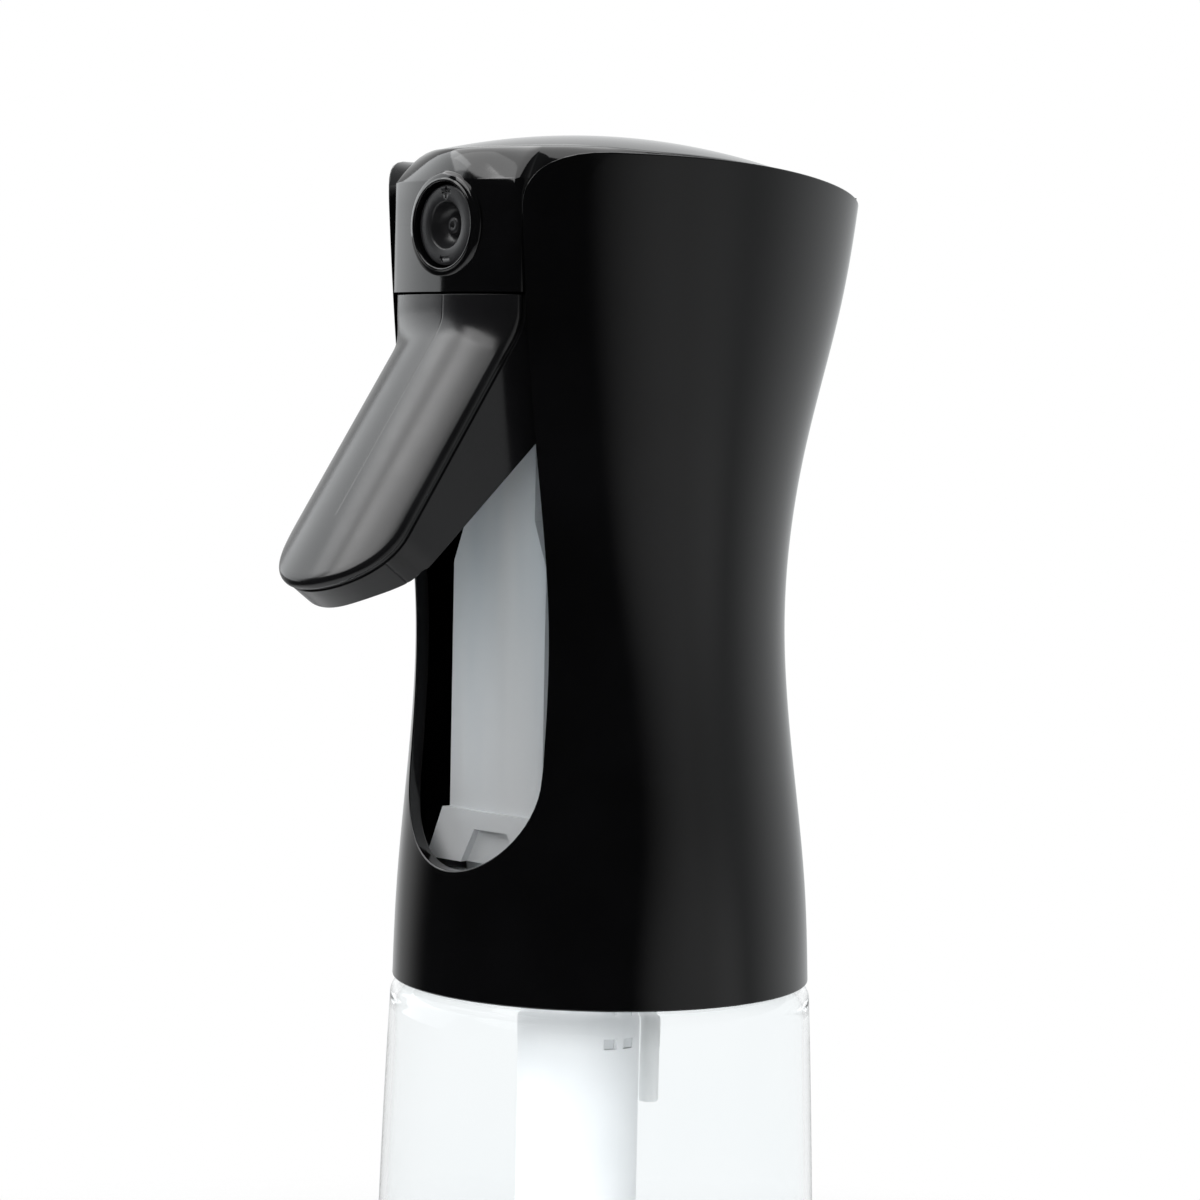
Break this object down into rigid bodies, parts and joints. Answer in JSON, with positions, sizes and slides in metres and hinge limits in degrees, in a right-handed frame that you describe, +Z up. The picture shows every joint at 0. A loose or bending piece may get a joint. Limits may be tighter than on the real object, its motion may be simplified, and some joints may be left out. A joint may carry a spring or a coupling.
{
  "type": "hand mister",
  "caption": "Trigger-worked continuous spray mister: clear bottle under a dark oval shroud, front finger trigger, small turnable nozzle, inner pump and dip tube.",
  "frame": {"origin": "middle of the bottle's foot, on the table", "axes": "+Z up along the bottle, spray leaves along -Y, +X to the right seen from the nozzle side's back"},
  "size_m": [0.06, 0.0921, 0.2364],
  "materials": {
    "clear_pet": "clear, glossy, faintly blue-grey",
    "black_gloss": "high gloss, moulded",
    "black_satin": "semi-gloss, moulded",
    "frosted_plastic": "natural translucent polypropylene",
    "nozzle_grey": "satin",
    "white_plastic": "moulded, matte",
    "tube_plastic": "extruded, milky",
    "seal_rubber": "soft, matte",
    "spring_steel": "drawn wire and ground rod"
  },
  "bodies": {
    "bottle": {"bottle": "clear_pet"},
    "neck_seal": {"neck_gasket": "seal_rubber"},
    "head": {"shroud": "black_gloss", "head_cover": "black_gloss", "pump_body": "frosted_plastic", "suction_sleeve": "white_plastic", "dip_tube_holder": "white_plastic", "dip_tube": "tube_plastic", "vent_tube": "tube_plastic", "buffer_cylinder": "white_plastic", "buffer_cap": "white_plastic", "buffer_spring": "spring_steel", "pump_gland": "white_plastic", "rod_seal": "seal_rubber", "pump_spring": "spring_steel", "trigger_pin": "spring_steel", "valve_plugs": "white_plastic", "swirl_core": "white_plastic", "nozzle_o_ring": "seal_rubber"},
    "trigger": {"trigger": "black_satin"},
    "pump_rod": {"pump_piston": "white_plastic", "pump_piston_seal": "seal_rubber", "crosshead_pin": "spring_steel"},
    "buffer_slider": {"buffer_piston": "white_plastic", "buffer_piston_seal": "seal_rubber"},
    "inlet_ball": {"inlet_valve_ball": "spring_steel"},
    "outlet_ball": {"outlet_valve_ball": "spring_steel"},
    "nozzle": {"nozzle_insert": "nozzle_grey"}
  },
  "joints": [
    {"name": "head_lift", "type": "slide", "parent": "bottle", "child": "neck_seal", "axis": [0, 0, 1], "range_m": [0, 0.00505]},
    {"name": "head_unscrew", "type": "hinge", "parent": "neck_seal", "child": "head", "pos_m": [0, 0, 0.138], "axis": [0, 0, 1], "range_deg": [0, 450]},
    {"name": "trigger_squeeze", "type": "hinge", "parent": "head", "child": "trigger", "pos_m": [0, -0.017, 0.21], "axis": [1, 0, 0], "range_deg": [0, 24], "stiffness_Nm_per_rad": 0.6, "springref_deg": -17.19},
    {"name": "pump_stroke", "type": "slide", "parent": "head", "child": "pump_rod", "axis": [0, 0, 1], "range_m": [0, 0.0115], "deforming": ["pump_spring"]},
    {"name": "buffer_charge", "type": "slide", "parent": "head", "child": "buffer_slider", "axis": [0, 0, -1], "range_m": [0, 0.028], "stiffness_N_per_m": 60, "springref_m": -0.02, "deforming": ["buffer_spring"]},
    {"name": "inlet_valve_lift", "type": "slide", "parent": "head", "child": "inlet_ball", "axis": [0, 0, 1], "range_m": [0, 0.001]},
    {"name": "outlet_valve_lift", "type": "slide", "parent": "head", "child": "outlet_ball", "axis": [0, 0, 1], "range_m": [0, 0.001]},
    {"name": "nozzle_turn", "type": "hinge", "parent": "head", "child": "nozzle", "pos_m": [0, -0.025, 0.2237], "axis": [0, -1, 0], "range_deg": [-90, 90]}
  ],
  "couplings": [
    {"joint": "head_lift", "follows": "head_unscrew", "m_per_rad": 0.00063662},
    {"joint": "pump_stroke", "follows": "trigger_squeeze", "m_per_rad": 0.0272}
  ]
}
